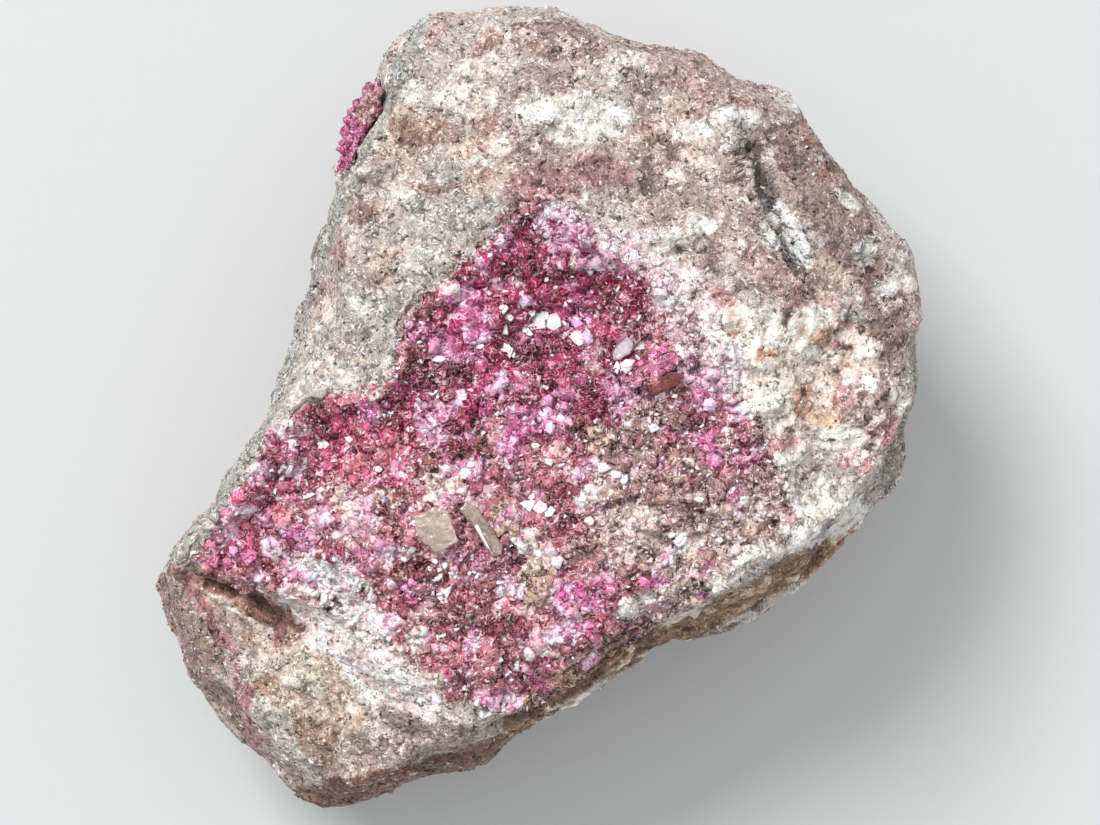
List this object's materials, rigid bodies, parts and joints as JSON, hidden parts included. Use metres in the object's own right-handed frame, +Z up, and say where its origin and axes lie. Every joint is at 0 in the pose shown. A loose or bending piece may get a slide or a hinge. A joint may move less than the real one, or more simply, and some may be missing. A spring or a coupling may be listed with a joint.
{
  "type": "cobaltoan calcite specimen",
  "caption": "Broken lump of granular carbonate rock with a flat broken base, a magenta crystal crust in a shallow seat across its upper face, and a small crystal patch on one flank.",
  "frame": {"origin": "centre of the specimen's footprint, on the surface that its base rests on", "axes": "+Z up out of the crystal face, +Y towards the specimen's top edge, +X to the right when the face is looked down on"},
  "size_m": [0.065, 0.0692, 0.038],
  "materials": {
    "host_rock": "granular, freshly broken, mottled grey, rose brown and white",
    "cobalt_calcite": "sugary crystals with a glassy lustre, magenta to pale pink and tan"
  },
  "bodies": {
    "root": {"matrix_rock": "host_rock", "cobalt_crust": "cobalt_calcite", "flank_crystal_patch": "cobalt_calcite"}
  },
  "joints": []
}
